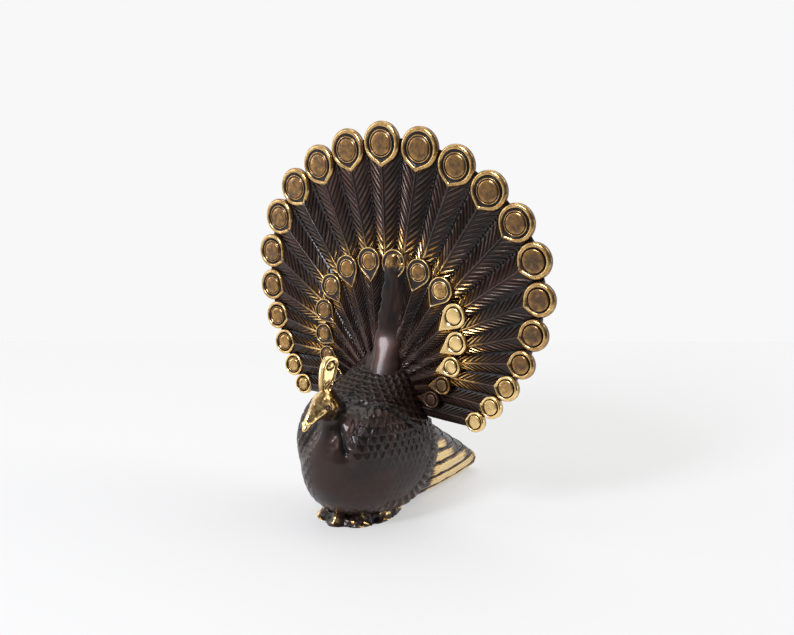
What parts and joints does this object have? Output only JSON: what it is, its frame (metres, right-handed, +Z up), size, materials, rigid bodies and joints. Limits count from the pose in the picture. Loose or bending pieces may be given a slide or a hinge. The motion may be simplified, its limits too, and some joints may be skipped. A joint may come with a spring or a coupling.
{
  "type": "peacock figurine",
  "caption": "Small cast brass peacock with a raised fan of eyed feathers, upright crest, folded wings and a flat foot pad.",
  "frame": {"origin": "on the ground, under the middle of the figure's bounding box", "axes": "the bird faces -Y, up is +Z, +X is the bird's left side"},
  "size_m": [0.1058, 0.079, 0.1133],
  "materials": {
    "brass": "dark brown patina, rubbed to bare gold on the feather eyes, head, toes and lower tail"
  },
  "bodies": {
    "root": {"peacock": "brass"}
  },
  "joints": []
}
